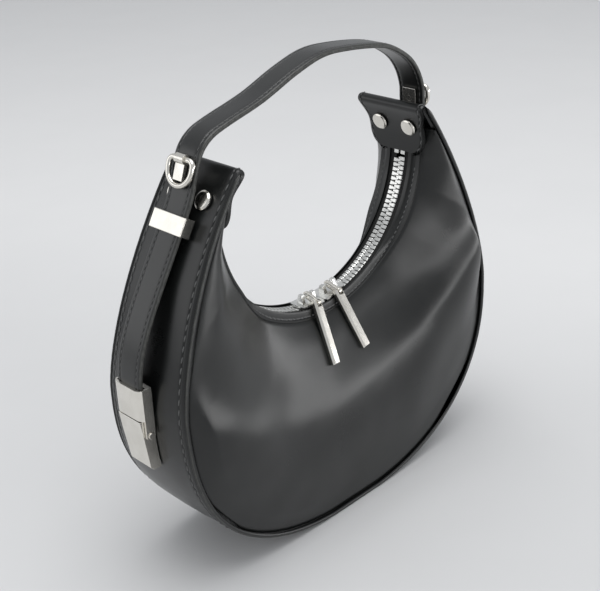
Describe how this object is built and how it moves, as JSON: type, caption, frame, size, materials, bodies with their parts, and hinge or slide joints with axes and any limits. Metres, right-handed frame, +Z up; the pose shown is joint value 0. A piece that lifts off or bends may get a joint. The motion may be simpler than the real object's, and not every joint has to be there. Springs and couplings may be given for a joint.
{
  "type": "handbag",
  "caption": "Half-moon leather handbag with a curved metal zip between folded horns and a strap clasped to both sides.",
  "frame": {"origin": "on the standing surface, in the middle of the bag", "axes": "+Z up, X across the bag, front face towards -Y"},
  "size_m": [0.262, 0.0678, 0.2624],
  "materials": {
    "body_leather": "smooth, soft sheen",
    "strap_leather": "smooth, edge painted",
    "lining_cloth": "fine twill",
    "zip_tape": "woven",
    "zip_metal": "polished",
    "polished_hardware": "polished"
  },
  "bodies": {
    "bag": {"front_panel": "body_leather", "back_panel": "body_leather", "gusset": "body_leather", "front_rib": "body_leather", "back_rib": "body_leather", "front_facing": "body_leather", "back_facing": "body_leather", "lining": "lining_cloth", "front_tape": "zip_tape", "back_tape": "zip_tape", "front_teeth": "zip_metal", "back_teeth": "zip_metal", "zip_end_stops": "zip_metal", "left_rivets": "polished_hardware", "right_rivets": "polished_hardware", "left_rivet_caps": "polished_hardware", "right_rivet_caps": "polished_hardware", "left_strap_tail": "strap_leather", "right_strap_tail": "strap_leather", "left_keeper": "polished_hardware", "right_keeper": "polished_hardware", "keeper_washers": "polished_hardware", "left_clasp_base": "polished_hardware", "right_clasp_base": "polished_hardware", "left_hinge_pin": "polished_hardware", "right_hinge_pin": "polished_hardware", "left_clasp_screws": "polished_hardware", "right_clasp_screws": "polished_hardware"},
    "left_slider": {"left_slider": "zip_metal"},
    "left_pull_link": {"left_pull_link": "polished_hardware"},
    "left_pull_bar": {"left_pull_bar": "polished_hardware"},
    "right_slider": {"right_slider": "zip_metal"},
    "right_pull_link": {"right_pull_link": "polished_hardware"},
    "right_pull_bar": {"right_pull_bar": "polished_hardware"},
    "handle": {"handle_strap": "strap_leather", "left_ring_tongue": "polished_hardware", "right_ring_tongue": "polished_hardware", "left_ring_plate": "polished_hardware", "right_ring_plate": "polished_hardware"},
    "left_ring": {"left_ring": "polished_hardware"},
    "right_ring": {"right_ring": "polished_hardware"},
    "left_ferrule": {"left_ferrule": "polished_hardware"},
    "right_ferrule": {"right_ferrule": "polished_hardware"}
  },
  "joints": [
    {"name": "left_slider_travel", "type": "hinge", "parent": "bag", "child": "left_slider", "pos_m": [0, 0, 0.1963], "axis": [0, 1, 0], "range_deg": [0, 72], "deforming": ["front_teeth", "back_teeth", "front_tape", "back_tape"]},
    {"name": "right_slider_travel", "type": "hinge", "parent": "bag", "child": "right_slider", "pos_m": [0, 0, 0.1963], "axis": [0, -1, 0], "range_deg": [0, 64], "deforming": ["front_teeth", "back_teeth", "front_tape", "back_tape"]},
    {"name": "left_link_hinge", "type": "hinge", "parent": "left_slider", "child": "left_pull_link", "pos_m": [-0.0048, 0, 0.12676], "axis": [-0.9976, 0, 0.0688], "range_deg": [0, 94]},
    {"name": "right_link_hinge", "type": "hinge", "parent": "right_slider", "child": "right_pull_link", "pos_m": [0.01204, 0, 0.12765], "axis": [-0.985, 0, -0.1727], "range_deg": [0, 94]},
    {"name": "left_bar_hinge", "type": "hinge", "parent": "left_pull_link", "child": "left_pull_bar", "pos_m": [-0.00494, -0.00825, 0.12471], "axis": [-0.9976, 0, 0.0688], "range_deg": [0, 110]},
    {"name": "right_bar_hinge", "type": "hinge", "parent": "right_pull_link", "child": "right_pull_bar", "pos_m": [0.01239, -0.00825, 0.12562], "axis": [-0.985, 0, -0.1727], "range_deg": [0, 110]},
    {"name": "handle_tilt", "type": "hinge", "parent": "bag", "child": "handle", "pos_m": [0, 0, 0.2015], "axis": [1, 0, 0], "range_deg": [-20, 20], "stiffness_Nm_per_rad": 0.05, "deforming": ["handle_strap"]},
    {"name": "left_ring_hinge", "type": "hinge", "parent": "handle", "child": "left_ring", "pos_m": [-0.08412, 0, 0.22741], "axis": [0, 1, 0], "range_deg": [0, 150]},
    {"name": "right_ring_hinge", "type": "hinge", "parent": "handle", "child": "right_ring", "pos_m": [0.08927, 0, 0.22658], "axis": [0, -1, 0], "range_deg": [0, 150]},
    {"name": "left_ferrule_hinge", "type": "hinge", "parent": "bag", "child": "left_ferrule", "pos_m": [-0.1262, 0, 0.097], "axis": [0, -1, 0], "range_deg": [0, 6], "stiffness_Nm_per_rad": 0.05, "deforming": ["left_strap_tail"]},
    {"name": "right_ferrule_hinge", "type": "hinge", "parent": "bag", "child": "right_ferrule", "pos_m": [0.1262, 0, 0.097], "axis": [0, 1, 0], "range_deg": [0, 6], "stiffness_Nm_per_rad": 0.05, "deforming": ["right_strap_tail"]}
  ],
  "couplings": [
    {"joint": "left_link_hinge", "follows": "left_slider_travel", "ratio": 1.3},
    {"joint": "right_link_hinge", "follows": "right_slider_travel", "ratio": 1.3}
  ]
}
